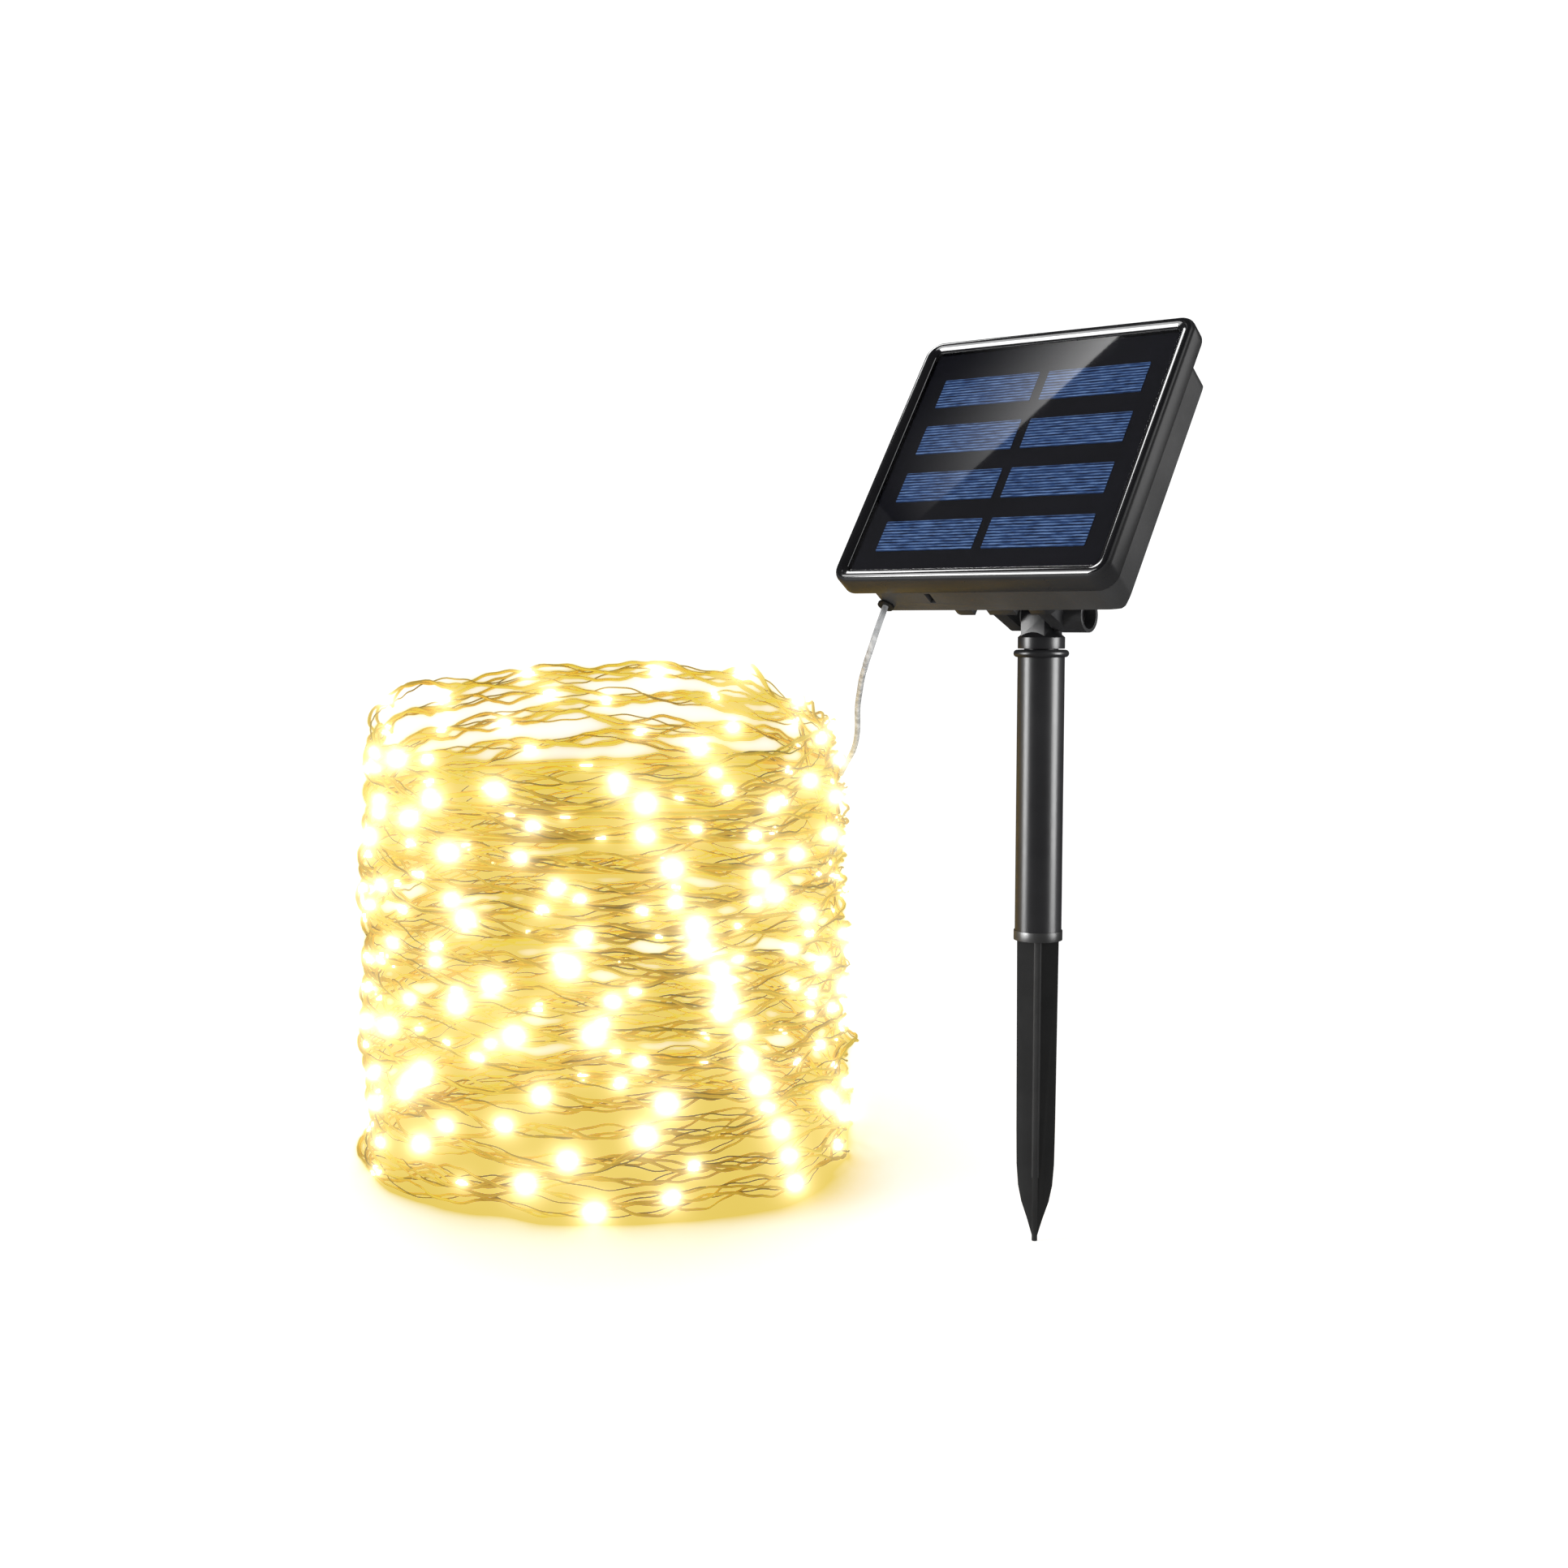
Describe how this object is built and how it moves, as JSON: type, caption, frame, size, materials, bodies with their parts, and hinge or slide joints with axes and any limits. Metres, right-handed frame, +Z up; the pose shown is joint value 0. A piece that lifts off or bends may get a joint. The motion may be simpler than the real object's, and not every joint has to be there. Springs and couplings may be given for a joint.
{
  "type": "solar string lights",
  "caption": "Tilting square solar head on a round ground stake, with a clear lead to a long string of small warm lights wound into a coil beside it.",
  "frame": {"origin": "tip of the ground stake, on the surface that the coil stands on", "axes": "+Z up along the stake, +X along the head's hinge pin, the solar panel faces -Y and up"},
  "size_m": [0.3691, 0.2104, 0.3332],
  "materials": {
    "bezel_black": "gloss",
    "panel_glass": "gloss",
    "cell_blue": "satin",
    "board_black": "satin",
    "foam": "matte",
    "rubber_black": "matte",
    "housing_black": "satin",
    "screw_steel": "satin",
    "battery_wrap": "satin",
    "contact_steel": "satin",
    "pcb_green": "satin",
    "chip_black": "satin",
    "button_red": "satin",
    "button_grey": "satin",
    "wire_red": "satin",
    "bracket_black": "satin",
    "washer_grey": "satin",
    "stake_grey": "satin",
    "spike_black": "satin",
    "lead_clear": "gloss",
    "wound_wire": "satin",
    "led_resin": "gloss"
  },
  "bodies": {
    "stake": {"stake_tube": "stake_grey", "tube_collar": "stake_grey", "ground_spike": "spike_black", "lead_lower": "lead_clear", "light_coil": "wound_wire", "led_beads": "led_resin", "splice_sleeve": "lead_clear", "string_tip": "led_resin"},
    "swivel": {"stake_head": "stake_grey", "plug_ring": "rubber_black"},
    "power_button": {"power_button": "button_red"},
    "mode_button": {"mode_button": "button_grey"},
    "head": {"front_bezel": "bezel_black", "solar_glass": "panel_glass", "solar_cells": "cell_blue", "solar_board": "board_black", "panel_tape": "foam", "housing_seal": "rubber_black", "rear_housing": "housing_black", "housing_screws": "screw_steel", "battery_door": "housing_black", "door_seal": "rubber_black", "door_screws": "screw_steel", "battery": "battery_wrap", "battery_springs": "contact_steel", "circuit_board": "pcb_green", "board_components": "chip_black", "tact_switches": "chip_black", "lead_grommet": "rubber_black", "panel_wires": "wire_red", "hinge_bracket": "bracket_black", "bracket_screws": "screw_steel", "hinge_bolt": "screw_steel", "hinge_nut": "screw_steel", "friction_washers": "washer_grey", "lead_upper": "lead_clear"}
  },
  "joints": [
    {"name": "head_swivel", "type": "hinge", "parent": "stake", "child": "swivel", "pos_m": [0, 0, 0.2], "axis": [0, 0, 1], "range_deg": [-45, 45], "deforming": ["lead_upper", "lead_lower"]},
    {"name": "panel_tilt", "type": "hinge", "parent": "swivel", "child": "head", "pos_m": [0, 0, 0.231], "axis": [1, 0, 0], "range_deg": [-55, 35], "deforming": ["lead_upper", "lead_lower"]},
    {"name": "power_press", "type": "slide", "parent": "head", "child": "power_button", "axis": [0, -0.8192, 0.5736], "range_m": [0, 0.0008], "stiffness_N_per_m": 400, "springref_m": -0.0003},
    {"name": "mode_press", "type": "slide", "parent": "head", "child": "mode_button", "axis": [0, -0.8192, 0.5736], "range_m": [0, 0.0008], "stiffness_N_per_m": 400, "springref_m": -0.0003}
  ]
}
